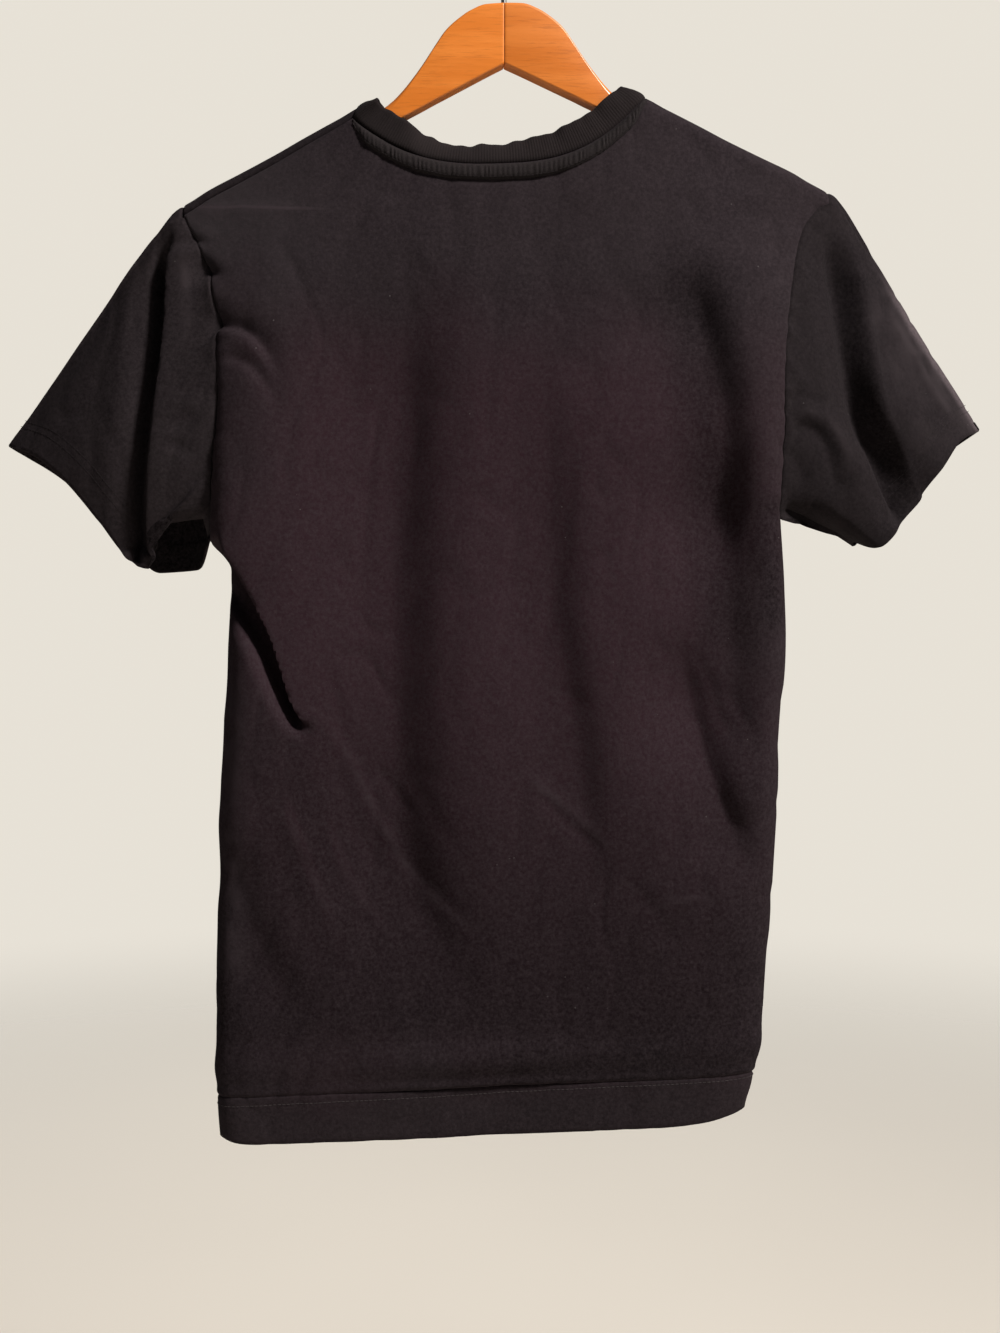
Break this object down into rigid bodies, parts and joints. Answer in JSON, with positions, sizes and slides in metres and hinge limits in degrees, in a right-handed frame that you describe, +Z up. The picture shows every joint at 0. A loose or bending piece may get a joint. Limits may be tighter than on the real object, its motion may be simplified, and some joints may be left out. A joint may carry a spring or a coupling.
{
  "type": "v-neck t-shirt on a wooden clothes hanger",
  "caption": "Short-sleeved black v-neck t-shirt in cotton jersey, hanging on a contoured wooden clothes hanger with a plain wire hook.",
  "frame": {"origin": "inside top of the hanger's hook, where a rail carries it", "axes": "+Z up, +X towards the wearer's left arm, -Y towards the front of the shirt, +Y towards its back"},
  "size_m": [0.6751, 0.1102, 0.8375],
  "materials": {
    "jersey": "matt black cotton jersey, faded to a faint brown-purple, soft sheen and lint",
    "rib": "matt black 1x1 rib knit",
    "tape": "matt black jersey tape, slightly puckered",
    "hanger_wood": "orange-brown lacquered wood with fine grain",
    "hook_steel": "bright plated steel wire"
  },
  "bodies": {
    "root": {"back_panel": "jersey", "front_panel": "jersey", "sleeve_left": "jersey", "sleeve_right": "jersey", "neck_rib": "rib", "neck_tape": "tape", "hanger_arm_left": "hanger_wood", "hanger_arm_right": "hanger_wood", "hanger_hook": "hook_steel"}
  },
  "joints": []
}
